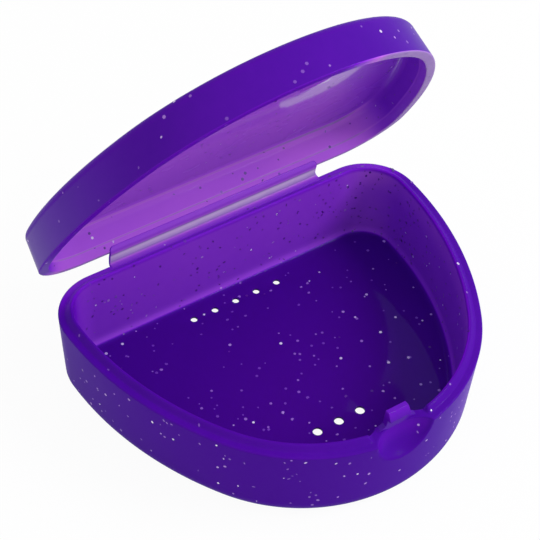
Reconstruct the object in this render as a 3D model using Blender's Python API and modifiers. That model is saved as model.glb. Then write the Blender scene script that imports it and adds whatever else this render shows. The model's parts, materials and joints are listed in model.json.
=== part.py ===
"""Retainer case: a drafted dental-arch tray, a shallow lid on a living-hinge strap, and a snap tab.

Metres, +Z up. The origin is at the middle of the tray's underside. The hinge runs along X at the
back, on the +Y side, and the snap tab and its thumb scoop are at the front, on the -Y side.
The lid is modelled shut and is turned open by the empty on the hinge's crease.
"""

import math

import bmesh
import bpy
from mathutils import Matrix

# Plan of the tray's rim
CASE_WIDTH = 0.0810
CASE_DEPTH = 0.0647
BACK_CORNER_RADIUS = 0.0108
SIDE_RADIUS_SHARE = 1.074  # of the case's depth

# Tray
TRAY_HEIGHT = 0.0184
TRAY_FLOOR = 0.0018
TRAY_DRAFT = 0.0008
TRAY_FOOT_ROUND = 0.0038
RIM_WIDTH = 0.0029
CAVITY_DRAFT = 0.0004
CAVITY_FOOT_ROUND = 0.0009
LIP_WIDTH = 0.0007
LIP_HEIGHT = 0.0010
LIP_BREAK = 0.0124

# Vent holes in the tray's floor, in a row near the hinge and a row near the snap tab
VENT_PITCH = 0.0050
VENT_THROAT = 0.0005
VENT_FLARE = 0.0012
BACK_VENT_COUNT = 5
BACK_VENT_DIAMETER = 0.0015
BACK_VENT_SETBACK = 0.0077
FRONT_VENT_COUNT = 3
FRONT_VENT_DIAMETER = 0.0021
FRONT_VENT_SETBACK = 0.0446

# Thumb scoop in the front wall, and the wall behind it
SCOOP_WIDTH = 0.0124
SCOOP_DEPTH = 0.0035
SCOOP_HEIGHT = 0.0061
SCOOP_WALL = 0.0016

# Snap tab
TAB_ROOT_WIDTH = 0.0086
TAB_WAIST_WIDTH = 0.0050
TAB_TOP_WIDTH = 0.0044
TAB_WAIST_HEIGHT = 0.0014
TAB_HEIGHT = 0.0039
TAB_THICKNESS = 0.0012
TAB_CROWN = 0.0004
HOOK_REACH = 0.0009
HOOK_HEIGHT = 0.0022
HOOK_DRAFT = 0.0002

# Lid
LID_OVERHANG = 0.0012
LID_HEIGHT = 0.0083
LID_TOP = 0.0016
LID_DRAFT = 0.0006
LID_CROWN_ROUND = 0.0018
LID_RIM_WIDTH = 0.0015
LID_LEAD_IN_WIDTH = 0.0009
LID_LEAD_IN_HEIGHT = 0.0018
LID_CAVITY_ROUND = 0.0020
LID_CAVITY_DRAFT = 0.0003
LID_OPEN_ANGLE = math.radians(60.6)

# Catch inside the lid's front wall
CATCH_WIDTH = 0.0060
CATCH_THICKNESS = 0.0011

# Hinge strap: two leaves that meet at a crease
STRAP_WIDTH = 0.0487
STRAP_THICKNESS = 0.0006
STRAP_REACH = 0.00185
STRAP_CORNER = 0.0008
TRAY_LEAF_SEAT = 0.0010
LID_LEAF_SEAT = 0.0021

# Running clearance between neighbouring pieces, and the overrun of a cutter
CLEARANCE = 0.0003
OVERRUN = 0.0020

# Facets
CORNER_STEPS = 8
SIDE_STEPS = 10
FRONT_STEPS = 14
BACK_STEPS = 6
ROUND_STEPS = 4
VENT_SIDES = 16
SCOOP_SEGMENTS = 32
SCOOP_RINGS = 16
SHARP_ANGLE = math.radians(35)

# Colours: linear red, green, blue
VIOLET = (0.085, 0.012, 0.38)
DEEP_VIOLET = (0.055, 0.008, 0.30)
PALE_VIOLET = (0.22, 0.055, 0.50)
PLASTIC_ROUGHNESS = 0.32

# Places and sizes that follow from the sizes above
SIDE_RADIUS = SIDE_RADIUS_SHARE * CASE_DEPTH
BACK = CASE_DEPTH / 2
FRONT = -CASE_DEPTH / 2
TAB_FRONT = FRONT + SCOOP_DEPTH
HINGE_Y = BACK + STRAP_REACH
HINGE_Z = TRAY_HEIGHT + CLEARANCE / 2
LID_RIM_Z = TRAY_HEIGHT + CLEARANCE
LID_FRONT = FRONT - LID_OVERHANG * 2


def arc(centre, radius, start, end, steps):
    """Points along an arc, without its last one."""
    turn = (end - start) / steps
    return [
        (centre[0] + radius * math.cos(start + turn * i), centre[1] + radius * math.sin(start + turn * i))
        for i in range(steps)
    ]


def plan_outline(inset=0.0, shift=0.0):
    """The case's outline, drawn in by inset: a straight back, two corners, two long sides and a round front.

    The four arcs run into each other smoothly. It goes round anticlockwise from the middle of the back.
    """
    side_x = CASE_WIDTH / 2 - SIDE_RADIUS
    corner_x = CASE_WIDTH / 2 - BACK_CORNER_RADIUS
    corner_y = BACK - BACK_CORNER_RADIUS
    length = corner_y - FRONT
    front_radius = (SIDE_RADIUS**2 - side_x**2 - length**2) / (2 * (SIDE_RADIUS - length))
    front_y = FRONT + front_radius
    blend = math.atan2(front_y - corner_y, -side_x)
    half_turn = math.pi
    left_blend = -half_turn - blend
    straight = [(-corner_x * i / BACK_STEPS, BACK - inset) for i in range(BACK_STEPS)]
    left_corner = arc(
        (-corner_x, corner_y), BACK_CORNER_RADIUS - inset, half_turn / 2, half_turn, CORNER_STEPS
    )
    left_side = arc((-side_x, corner_y), SIDE_RADIUS - inset, -half_turn, left_blend, SIDE_STEPS)
    front = arc((0, front_y), front_radius - inset, left_blend, blend, FRONT_STEPS)
    right_side = arc((side_x, corner_y), SIDE_RADIUS - inset, blend, 0, SIDE_STEPS)
    right_corner = arc((corner_x, corner_y), BACK_CORNER_RADIUS - inset, 0, half_turn / 2, CORNER_STEPS)
    rest = [(corner_x * (1 - i / BACK_STEPS), BACK - inset) for i in range(BACK_STEPS)]
    loop = straight + left_corner + left_side + front + right_side + right_corner + rest
    return [(x, y + shift) for x, y in loop]


def quarter_round(inset, height, radius, inset_sign, height_sign):
    """Steps of (inset, height) round a quarter circle that starts level with the wall at inset."""
    steps = []
    for i in range(1, ROUND_STEPS + 1):
        turn = math.pi / 2 * i / ROUND_STEPS
        along = radius * math.sin(turn)
        across = radius * (1 - math.cos(turn))
        steps.append((inset + inset_sign * across, height + height_sign * along))
    return steps


def stack(name, rings):
    """A closed solid through rings of points that all have the same count, from the bottom up."""
    form = bmesh.new()
    loops = [[form.verts.new(point) for point in ring] for ring in rings]
    for lower, upper in zip(loops, loops[1:]):
        for i in range(len(lower)):
            after = (i + 1) % len(lower)
            form.faces.new((lower[i], lower[after], upper[after], upper[i]))
    form.faces.new(list(reversed(loops[0])))
    form.faces.new(loops[-1])
    bmesh.ops.recalc_face_normals(form, faces=form.faces)
    return finish_mesh(name, form)


def loft(name, sections, shift=0.0):
    """A closed solid through the case's outline at each (inset, height), from the bottom up."""
    rings = []
    for inset, height in sections:
        rings.append([(x, y, height) for x, y in plan_outline(inset, shift)])
    return stack(name, rings)


def finish_mesh(name, form):
    mesh = bpy.data.meshes.new(name)
    form.to_mesh(mesh)
    form.free()
    return bpy.data.objects.new(name, mesh)


def block(name, low, high):
    """A box between two corners."""
    form = bmesh.new()
    size = [b - a for a, b in zip(low, high)]
    middle = [(a + b) / 2 for a, b in zip(low, high)]
    bmesh.ops.create_cube(form, size=1)
    bmesh.ops.scale(form, vec=size, verts=form.verts)
    bmesh.ops.translate(form, vec=middle, verts=form.verts)
    return finish_mesh(name, form)


def ellipsoid(name, centre, half_sizes):
    form = bmesh.new()
    bmesh.ops.create_uvsphere(form, u_segments=SCOOP_SEGMENTS, v_segments=SCOOP_RINGS, radius=1)
    bmesh.ops.scale(form, vec=half_sizes, verts=form.verts)
    bmesh.ops.translate(form, vec=centre, verts=form.verts)
    return finish_mesh(name, form)


def boolean(target, tool, operation="DIFFERENCE"):
    modifier = target.modifiers.new(f"{operation} {tool.name}", "BOOLEAN")
    modifier.operation = operation
    modifier.object = tool
    modifier.solver = "EXACT"


def make_collections():
    """The collection of the case's pieces and the hidden one of its cutters."""
    for item in list(bpy.data.objects):
        bpy.data.objects.remove(item)
    parts = bpy.data.collections.new("retainer_case")
    cutters = bpy.data.collections.new("cutters")
    bpy.context.scene.collection.children.link(parts)
    bpy.context.scene.collection.children.link(cutters)
    return parts, cutters


def plastic(name, colour):
    material = bpy.data.materials.new(name)
    material.use_nodes = True
    shader = material.node_tree.nodes["Principled BSDF"]
    shader.inputs["Base Color"].default_value = (*colour, 1)
    shader.inputs["Roughness"].default_value = PLASTIC_ROUGHNESS
    shader.inputs["Metallic"].default_value = 0
    return material


def add_part(piece, parts, colour, parent=None):
    """Puts a piece in the case's collection, with its own material, and hangs it on its pivot."""
    parts.objects.link(piece)
    piece.data.materials.append(plastic(piece.name, colour))
    piece.data.shade_smooth()
    piece.data.set_sharp_from_angle(angle=SHARP_ANGLE)
    if parent is not None:
        piece.data.transform(Matrix.Translation(-parent.location))
        piece.parent = parent
    return piece


def add_cutter(tool, cutters):
    cutters.objects.link(tool)
    tool.hide_render = True
    tool.display_type = "WIRE"
    return tool


def make_pivot(name, parts, place):
    """An empty on a joint's axis, which carries the pieces that turn about it."""
    pivot = bpy.data.objects.new(name, None)
    pivot.location = place
    parts.objects.link(pivot)
    return pivot


def make_vent(name, x, setback, diameter):
    """A vent's cutter: a short straight throat under the floor's top, flared from there down."""
    flare_height = TRAY_FLOOR - VENT_THROAT
    below = VENT_FLARE * OVERRUN / flare_height
    levels = (
        (diameter / 2 + VENT_FLARE + below, -OVERRUN),
        (diameter / 2, flare_height),
        (diameter / 2, TRAY_FLOOR + OVERRUN),
    )
    rings = []
    for radius, height in levels:
        ring = arc((x, BACK - setback), radius, 0, 2 * math.pi, VENT_SIDES)
        rings.append([(across, along, height) for across, along in ring])
    return stack(name, rings)


def make_tray(parts, cutters):
    """The tray: drafted wall with a rounded foot, flat rim, raised lip, vents and thumb scoop."""
    foot = quarter_round(TRAY_DRAFT, TRAY_FOOT_ROUND, TRAY_FOOT_ROUND, 1, -1)
    lip_outer = RIM_WIDTH - LIP_WIDTH
    outside = list(reversed(foot)) + [
        (TRAY_DRAFT, TRAY_FOOT_ROUND),
        (0, TRAY_HEIGHT),
        (lip_outer, TRAY_HEIGHT),
        (lip_outer, TRAY_HEIGHT + LIP_HEIGHT),
    ]
    tray = loft("tray", outside)

    inner_foot_inset = RIM_WIDTH + CAVITY_DRAFT
    inner_foot_height = TRAY_FLOOR + CAVITY_FOOT_ROUND
    inner_foot = quarter_round(inner_foot_inset, inner_foot_height, CAVITY_FOOT_ROUND, 1, -1)
    top = TRAY_HEIGHT + LIP_HEIGHT + OVERRUN
    inside = list(reversed(inner_foot)) + [(inner_foot_inset, inner_foot_height), (RIM_WIDTH, top)]
    cavity = add_cutter(loft("cavity_cutter", inside), cutters)

    scoop_half = (SCOOP_WIDTH / 2, SCOOP_DEPTH, SCOOP_HEIGHT)
    boss_half = tuple(half + SCOOP_WALL for half in scoop_half)
    scoop_centre = (0, FRONT, TRAY_HEIGHT)
    boss = add_cutter(ellipsoid("scoop_boss", scoop_centre, boss_half), cutters)
    reach = CASE_WIDTH
    above = block("above_rim", (-reach, -reach, TRAY_HEIGHT), (reach, reach, TRAY_HEIGHT + reach))
    boolean(boss, add_cutter(above, cutters))
    boolean(cavity, boss)
    boolean(tray, cavity)

    lip_gap = block(
        "lip_break_cutter",
        (-LIP_BREAK / 2, FRONT - OVERRUN, TRAY_HEIGHT),
        (LIP_BREAK / 2, FRONT + SCOOP_DEPTH + OVERRUN, TRAY_HEIGHT + LIP_HEIGHT + OVERRUN),
    )
    boolean(tray, add_cutter(lip_gap, cutters))
    boolean(tray, add_cutter(ellipsoid("thumb_scoop_cutter", scoop_centre, scoop_half), cutters))

    leaf_seat = block(
        "tray_leaf_seat_cutter",
        (
            -STRAP_WIDTH / 2 - CLEARANCE,
            BACK - TRAY_LEAF_SEAT - CLEARANCE,
            TRAY_HEIGHT - STRAP_THICKNESS - CLEARANCE,
        ),
        (STRAP_WIDTH / 2 + CLEARANCE, BACK + OVERRUN, TRAY_HEIGHT + LIP_HEIGHT + OVERRUN),
    )
    boolean(tray, add_cutter(leaf_seat, cutters))

    rows = (
        ("back", BACK_VENT_COUNT, BACK_VENT_SETBACK, BACK_VENT_DIAMETER),
        ("front", FRONT_VENT_COUNT, FRONT_VENT_SETBACK, FRONT_VENT_DIAMETER),
    )
    for row, count, setback, diameter in rows:
        for i in range(count):
            x = VENT_PITCH * (i - (count - 1) / 2)
            vent = make_vent(f"{row}_vent_cutter_{i + 1}", x, setback, diameter)
            boolean(tray, add_cutter(vent, cutters))
    return add_part(tray, parts, VIOLET)


def make_latch_tab(parts):
    """The snap tab: a tongue behind the thumb scoop, wide at its root, with a wedge-shaped hook."""
    base = TRAY_HEIGHT + CLEARANCE
    top = TRAY_HEIGHT + TAB_HEIGHT
    hook = TRAY_HEIGHT + HOOK_HEIGHT
    back = TAB_FRONT + TAB_THICKNESS
    waist = TRAY_HEIGHT + TAB_WAIST_HEIGHT
    taper = (TAB_TOP_WIDTH - TAB_WAIST_WIDTH) / (top - waist)
    levels = (
        (base, TAB_FRONT, back),
        (waist, TAB_FRONT, back),
        (hook, TAB_FRONT, back),
        (hook + HOOK_DRAFT, TAB_FRONT - HOOK_REACH, back),
        (top - TAB_CROWN, TAB_FRONT, back),
        (top, TAB_FRONT + TAB_CROWN, back - TAB_CROWN),
    )
    rings = []
    for height, near, far in levels:
        width = TAB_WAIST_WIDTH + taper * (height - waist)
        if height == base:
            width = TAB_ROOT_WIDTH
        half = width / 2
        corners = ((-half, near), (half, near), (half, far), (-half, far))
        rings.append([(across, along, height) for across, along in corners])
    tab = stack("latch_tab", rings)
    pivot = make_pivot("latch_tab_pivot", parts, (0, TAB_FRONT + TAB_THICKNESS / 2, base))
    return add_part(tab, parts, VIOLET, pivot)


def strap_leaf(name, inner_y, low):
    """One leaf of the hinge strap: a thin plate from inner_y to its side of the crease."""
    leaf = block(
        name,
        (-STRAP_WIDTH / 2, inner_y, low),
        (STRAP_WIDTH / 2, HINGE_Y - CLEARANCE / 2, low + STRAP_THICKNESS),
    )
    rounding = leaf.modifiers.new("Rounded corners", "BEVEL")
    rounding.width = STRAP_CORNER
    rounding.segments = ROUND_STEPS
    rounding.limit_method = "WEIGHT"
    weights = leaf.data.attributes.new("bevel_weight_edge", "FLOAT", "EDGE")
    for edge in leaf.data.edges:
        ends = [leaf.data.vertices[i].co for i in edge.vertices]
        upright = abs(ends[0].z - ends[1].z) > STRAP_THICKNESS / 2
        weights.data[edge.index].value = float(upright and ends[0].y < BACK)
    return leaf


def make_lid(parts, cutters, pivot):
    """The lid: a shallow drafted dish with a rounded crown, a flat rim and a sloped lead-in inside it."""
    crown_start = LID_RIM_Z + LID_HEIGHT - LID_CROWN_ROUND
    crown_inset = LID_DRAFT - LID_OVERHANG
    crown = quarter_round(crown_inset, crown_start, LID_CROWN_ROUND, 1, 1)
    outside = [(-LID_OVERHANG, LID_RIM_Z), (crown_inset, crown_start)] + crown
    lid = loft("lid", outside, shift=-LID_OVERHANG)

    mouth = LID_RIM_WIDTH - LID_OVERHANG
    throat = mouth + LID_LEAD_IN_WIDTH
    slope = LID_LEAD_IN_WIDTH / LID_LEAD_IN_HEIGHT
    ceiling = LID_RIM_Z + LID_HEIGHT - LID_TOP
    ceiling_inset = throat + LID_CAVITY_DRAFT
    inner_round = quarter_round(ceiling_inset, ceiling - LID_CAVITY_ROUND, LID_CAVITY_ROUND, 1, 1)
    inside = [
        (mouth - slope * OVERRUN / 2, LID_RIM_Z - OVERRUN / 2),
        (throat, LID_RIM_Z + LID_LEAD_IN_HEIGHT),
        (ceiling_inset, ceiling - LID_CAVITY_ROUND),
    ] + inner_round
    boolean(lid, add_cutter(loft("lid_cavity_cutter", inside, shift=-LID_OVERHANG), cutters))
    leaf_seat = block(
        "lid_leaf_seat_cutter",
        (-STRAP_WIDTH / 2 - CLEARANCE, BACK - LID_LEAF_SEAT - CLEARANCE, LID_RIM_Z - OVERRUN),
        (
            STRAP_WIDTH / 2 + CLEARANCE,
            BACK + OVERRUN,
            LID_RIM_Z + STRAP_THICKNESS + CLEARANCE,
        ),
    )
    boolean(lid, add_cutter(leaf_seat, cutters))
    for tool in cutters.objects:
        if tool.name.startswith("lid_"):
            tool.data.transform(Matrix.Translation(-pivot.location))
            tool.parent = pivot
    return add_part(lid, parts, DEEP_VIOLET, pivot)


def make_lid_catch(parts, pivot):
    """The ledge inside the lid's front wall that snaps under the tab's hook."""
    wall = LID_RIM_WIDTH + LID_LEAD_IN_WIDTH
    low = LID_RIM_Z + CLEARANCE
    catch = block(
        "lid_catch",
        (-CATCH_WIDTH / 2, LID_FRONT + wall + CLEARANCE, low),
        (CATCH_WIDTH / 2, TAB_FRONT - CLEARANCE, low + CATCH_THICKNESS),
    )
    return add_part(catch, parts, DEEP_VIOLET, pivot)


def main():
    parts, cutters = make_collections()
    make_tray(parts, cutters)
    make_latch_tab(parts)
    tray_leaf = strap_leaf("strap_tray_leaf", BACK - TRAY_LEAF_SEAT, TRAY_HEIGHT - STRAP_THICKNESS)
    add_part(tray_leaf, parts, PALE_VIOLET)
    pivot = make_pivot("lid_pivot", parts, (0, HINGE_Y, HINGE_Z))
    make_lid(parts, cutters, pivot)
    make_lid_catch(parts, pivot)
    lid_leaf = strap_leaf("strap_lid_leaf", BACK - LID_LEAF_SEAT, LID_RIM_Z)
    add_part(lid_leaf, parts, PALE_VIOLET, pivot)
    pivot.rotation_euler.x = -LID_OPEN_ANGLE


main()
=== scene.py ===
"""Looks of a retainer case: a glittery violet tray, its lid on a hinge strap, and a snap tab.

Metres, +Z up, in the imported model's own frame. The hinge runs along X at the back, on the +Y side.
Laid out as an add-on that is run as a script: sizes and colours are properties, each piece has its
own operator, and main() calls them in order.
"""

import json
import math

import bmesh
import bpy
import numpy as np
from bpy.props import (
    FloatProperty,
    FloatVectorProperty,
    IntProperty,
    PointerProperty,
)
from mathutils import Matrix, Vector
from mathutils.geometry import delaunay_2d_cdt


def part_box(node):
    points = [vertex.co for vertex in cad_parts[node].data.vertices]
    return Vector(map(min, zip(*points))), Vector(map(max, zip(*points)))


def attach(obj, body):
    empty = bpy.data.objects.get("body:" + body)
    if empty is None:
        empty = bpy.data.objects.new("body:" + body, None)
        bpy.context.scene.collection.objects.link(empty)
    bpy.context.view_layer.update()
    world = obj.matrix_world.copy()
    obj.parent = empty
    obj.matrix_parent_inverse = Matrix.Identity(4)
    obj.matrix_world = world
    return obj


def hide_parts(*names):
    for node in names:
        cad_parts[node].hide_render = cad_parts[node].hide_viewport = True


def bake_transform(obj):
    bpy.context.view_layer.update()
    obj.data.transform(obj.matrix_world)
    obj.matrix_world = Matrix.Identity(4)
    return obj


bl_info = {
    "name": "Retainer case",
    "version": (1, 0, 0),
    "blender": (4, 5, 0),
    "location": "3D View > Sidebar > Retainer case",
    "description": "Builds the visible pieces of a glittery retainer case round its packed solids",
    "category": "Object",
}

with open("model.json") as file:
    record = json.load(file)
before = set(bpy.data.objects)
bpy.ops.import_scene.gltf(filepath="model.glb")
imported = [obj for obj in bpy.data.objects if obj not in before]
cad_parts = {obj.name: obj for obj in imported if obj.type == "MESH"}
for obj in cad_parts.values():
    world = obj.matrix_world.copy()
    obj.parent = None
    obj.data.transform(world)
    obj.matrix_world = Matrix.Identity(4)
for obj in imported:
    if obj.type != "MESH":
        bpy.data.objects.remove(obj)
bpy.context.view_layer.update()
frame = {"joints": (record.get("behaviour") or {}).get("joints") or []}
TRAY_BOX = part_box("tray")
TAB_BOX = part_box("latch_tab")
HINGE = next(joint for joint in frame["joints"] if joint["name"] == "lid_hinge")
CREASE = Vector(HINGE["pos_m"])
OPEN_ANGLE = math.radians(-HINGE["range_deg"][0])
MM = 0.001


# Properties


def metres(name, description, default):
    """A length that a user may change."""
    return FloatProperty(
        name=name, description=description, default=default, min=0.0, unit="LENGTH", precision=5
    )


def share(name, description, default):
    """A plain number from 0 to 1."""
    return FloatProperty(
        name=name, description=description, default=default, min=0.0, max=1.0, subtype="FACTOR"
    )


def colour(name, description, default):
    """A colour, as linear red, green and blue."""
    return FloatVectorProperty(
        name=name, description=description, default=default, size=3, min=0.0, max=1.0, subtype="COLOR"
    )


class TraySizes(bpy.types.PropertyGroup):
    """Sizes of the tray and of the plan that the lid shares."""

    width: metres("Width", "Across the rim, side to side", TRAY_BOX[1].x - TRAY_BOX[0].x)
    depth: metres("Depth", "From the back of the rim to its front", TRAY_BOX[1].y - TRAY_BOX[0].y)
    back_corner: metres("Back corner", "Radius of the two corners by the hinge", 0.0108)
    side_radius: metres("Side radius", "Radius of each long side", 0.06949)
    height: metres("Height", "From the underside to the flat rim", 0.0184)
    floor: metres("Floor", "Thickness of the floor", 0.0018)
    draft: metres("Draft", "How far the outer wall leans in from rim to foot", 0.0008)
    foot_round: metres("Foot round", "Radius under the outer wall", 0.0038)
    rim: metres("Rim width", "From the outer edge of the rim to the cavity", 0.0029)
    rim_edge: metres("Rim edge", "Radius of the rim's outer edge", 0.00035)
    cavity_draft: metres("Cavity draft", "How far the inner wall leans in", 0.0004)
    cavity_round: metres("Cavity round", "Radius at the foot of the inner wall", 0.0016)
    lip_start: metres("Lip start", "From the outer edge to where the lip begins to rise", 0.0012)
    lip_round: metres("Lip round", "Radius on the lip's inner side", 0.0004)
    lip_height: metres("Lip height", "How far the lip stands over the rim", 0.0010)
    lip_break: metres("Lip break", "Gap in the lip behind the thumb scoop", 0.0124)
    vent_pitch: metres("Vent pitch", "Between neighbouring vents", 0.0050)
    back_vent: metres("Back vent", "Diameter of the five vents near the hinge", 0.0014)
    back_vent_setback: metres("Back vent setback", "From the back of the rim", 0.0077)
    front_vent: metres("Front vent", "Diameter of the three vents near the tab", 0.0019)
    front_vent_setback: metres("Front vent setback", "From the back of the rim", 0.0446)
    vent_edge: metres("Vent edge", "Radius round the mouth of each vent", 0.00008)
    vent_throat: metres("Vent throat", "Depth of a vent's straight part", 0.0005)
    vent_flare: metres("Vent flare", "How much wider a vent is at the underside, all round", 0.0012)
    scoop_width: metres("Scoop width", "Thumb scoop, side to side", 0.0124)
    scoop_depth: metres("Scoop depth", "Thumb scoop, into the wall", 0.0035)
    scoop_height: metres("Scoop height", "Thumb scoop, down from the rim", 0.0061)
    scoop_wall: metres("Scoop wall", "Wall left behind the thumb scoop", 0.0016)


class LidSizes(bpy.types.PropertyGroup):
    """Sizes of the lid, as it lies shut."""

    overhang: metres("Overhang", "How far the lid stands out past the tray", 0.0012)
    height: metres("Height", "From its rim to its top", 0.0083)
    gap: metres("Gap", "Between the tray's rim and the lid's rim, shut", 0.0003)
    top: metres("Top thickness", "Thickness of the top", 0.0016)
    draft: metres("Draft", "How far the outer wall leans in", 0.0006)
    crown: metres("Crown round", "Radius round the top", 0.0018)
    rim: metres("Rim width", "Flat band round the mouth, at the back", 0.0015)
    rim_growth: metres("Rim growth", "How much wider that band is at the sides and front", 0.0004)
    rim_edge: metres("Rim edge", "Radius of the band's edges", 0.00028)
    lead_in: metres("Lead-in width", "Sloped band inside the rim, at the back", 0.0009)
    lead_in_height: metres("Lead-in height", "How deep the sloped band reaches", 0.0018)
    cavity_round: metres("Cavity round", "Radius where the wall meets the ceiling", 0.0020)
    cavity_draft: metres("Cavity draft", "How far the inner wall leans in", 0.0003)
    catch_width: metres("Catch width", "Ledge inside the front wall", 0.0060)
    catch_height: metres("Catch height", "Thickness of that ledge", 0.0011)


class StrapSizes(bpy.types.PropertyGroup):
    """Sizes of the hinge strap."""

    width: metres("Width", "Across the strap at the lid", 0.0487)
    flare: metres("Flare", "How much wider it is at the tray, each side", 0.0003)
    thickness: metres("Thickness", "Of the web", 0.00050)
    corner: metres("Corner", "Radius of the flange's corners", 0.0011)
    proud: metres("Proud", "How far the flange stands over the lid's lead-in", 0.00015)


class LatchSizes(bpy.types.PropertyGroup):
    """Sizes of the snap tab."""

    root_width: metres("Root width", "Across the tab where it leaves the wall", 0.0086)
    waist_width: metres("Waist width", "Across the tab above its flared root", 0.0050)
    waist_height: metres("Waist height", "Of the flared root over the rim", 0.0014)
    top_width: metres("Top width", "Across the tab at its top", 0.0044)
    thickness: metres("Thickness", "Front to back", 0.0012)
    hook_reach: metres("Hook reach", "How far the hook stands out", 0.0009)
    hook_height: metres("Hook height", "Of the hook's ledge over the rim", 0.0022)
    hook_draft: metres("Hook draft", "How much that ledge rises to the hook's edge", 0.0002)
    edge: metres("Edge", "Radius of the tab's edges", 0.00014)


class GlitterLook(bpy.types.PropertyGroup):
    """The flakes in the plastic."""

    size: metres("Flake size", "Across a large flake", 0.00072)
    thickness: metres("Flake thickness", "Of one flake", 0.00003)
    light_count: FloatProperty(
        name="Light flakes", description="Light flakes on each square metre", default=62000.0, min=0.0
    )
    dark_count: FloatProperty(
        name="Dark flakes", description="Dark flakes on each square metre", default=60000.0, min=0.0
    )
    seed: IntProperty(name="Seed", description="Which scatter of flakes", default=7)


class PlasticLook(bpy.types.PropertyGroup):
    """Colours of the plastic, from its thickest and darkest to its thinnest and palest, with painted
    light in the paler ones: light that comes through thin plastic and that rims and bends catch.
    """

    shade: colour("Shade", "Deep inside the tray", (0.012, 0.000, 0.080))
    deep: colour("Deep", "Floor and thick walls", (0.060, 0.002, 0.258))
    body: colour("Body", "Outer walls", (0.068, 0.003, 0.325))
    bright: colour("Bright", "Walls with some light behind them", (0.170, 0.005, 0.580))
    glow: colour("Glow", "Walls with light behind them", (0.310, 0.056, 0.690))
    lilac: colour("Lilac", "Thin plastic with light behind it", (0.500, 0.130, 0.750))
    mauve: colour("Mauve", "Level rims in full light", (0.310, 0.170, 0.520))
    pale: colour("Pale", "Bends that catch the light", (0.760, 0.600, 0.800))
    grain: share("Grain", "Strength of the fine surface grain", 0.10)


class StageLook(bpy.types.PropertyGroup):
    """Camera, floor and lights."""

    lens: FloatProperty(name="Lens", description="Focal length", default=116.09, unit="CAMERA")
    azimuth: FloatProperty(
        name="Azimuth", description="Round the object", default=math.radians(-35.83), subtype="ANGLE"
    )
    elevation: FloatProperty(
        name="Elevation", description="Above the floor", default=math.radians(46.24), subtype="ANGLE"
    )
    roll: FloatProperty(
        name="Roll", description="Tilt of the frame", default=math.radians(3.32), subtype="ANGLE"
    )
    distance: metres("Distance", "From the aim point", 0.32586)
    light: FloatProperty(
        name="Light", description="Strength of the even light", default=0.70, min=0.0
    )
    lamp: FloatProperty(
        name="Lamp", description="Power of the soft lamp, in watts", default=2.6, min=0.0
    )


# Plan of the case


def plan(sizes, spacing, fine_spacing, fine_half):
    """Points round the rim's outer edge and their outward directions.

    They run anticlockwise from the back's middle. The outline has a straight back, two corners, two
    long sides and a round front, and the arcs run smoothly into each other. The points lie closer
    together within fine_half of the front's middle.
    """
    half, back = sizes.width / 2, sizes.depth / 2
    side_x, corner_x = half - sizes.side_radius, half - sizes.back_corner
    corner_y = back - sizes.back_corner
    length = corner_y + back
    front_radius = (sizes.side_radius**2 - side_x**2 - length**2) / (2 * (sizes.side_radius - length))
    front_y = -back + front_radius
    blend = math.atan2(front_y - corner_y, -side_x)
    quarter = math.pi / 2
    arcs = (
        ((-corner_x, corner_y), sizes.back_corner, quarter, 2 * quarter),
        ((-side_x, corner_y), sizes.side_radius, -2 * quarter, -2 * quarter - blend),
        ((0.0, front_y), front_radius, -2 * quarter - blend, blend),
        ((side_x, corner_y), sizes.side_radius, blend, 0.0),
        ((corner_x, corner_y), sizes.back_corner, 0.0, quarter),
    )
    step = fine_spacing / 8
    points, normals = [], []
    count = int(corner_x / step)
    for i in range(count):
        points.append((-corner_x * i / count, back))
        normals.append((0.0, 1.0))
    for centre, radius, start, end in arcs:
        count = int(radius * abs(end - start) / step)
        for i in range(count):
            turn = start + (end - start) * i / count
            ray = (math.cos(turn), math.sin(turn))
            points.append((centre[0] + radius * ray[0], centre[1] + radius * ray[1]))
            normals.append(ray)
    count = int(corner_x / step)
    for i in range(count):
        points.append((corner_x * (1 - i / count), back))
        normals.append((0.0, 1.0))
    points, normals = np.array(points), np.array(normals)
    gaps = np.linalg.norm(np.roll(points, -1, 0) - points, axis=1)
    near = np.clip((np.abs(points[:, 0]) - fine_half) / fine_half, 0, 1)
    near = np.where(points[:, 1] < 0, near, 1)
    walked = np.concatenate([[0], np.cumsum(gaps / (fine_spacing + (spacing - fine_spacing) * near))])
    stations = np.linspace(0, walked[-1], int(walked[-1]) + 1)[:-1]
    closed_points = np.vstack([points, points[:1]])
    closed_normals = np.vstack([normals, normals[:1]])
    spot = np.stack([np.interp(stations, walked, closed_points[:, k]) for k in (0, 1)], 1)
    ray = np.stack([np.interp(stations, walked, closed_normals[:, k]) for k in (0, 1)], 1)
    return spot, ray / np.linalg.norm(ray, axis=1)[:, None]


def smoothstep(value, low, high):
    t = np.clip((value - low) / (high - low), 0, 1)
    return t * t * (3 - 2 * t)


def soft_max(a, b, reach):
    """The greater of a and b, with the crease between them rounded over reach."""
    near = np.maximum(reach - np.abs(a - b), 0) / reach
    return np.maximum(a, b) + near * near * reach / 4


def quarter_turn(inset, height, radius, across, along, steps):
    """(inset, height) at each step round a quarter circle that starts level with the wall at inset."""
    turns = [math.pi / 2 * (i + 1) / steps for i in range(steps)]
    return [
        (inset + across * radius * (1 - math.cos(t)), height + along * radius * math.sin(t))
        for t in turns
    ]


# Meshes


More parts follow.
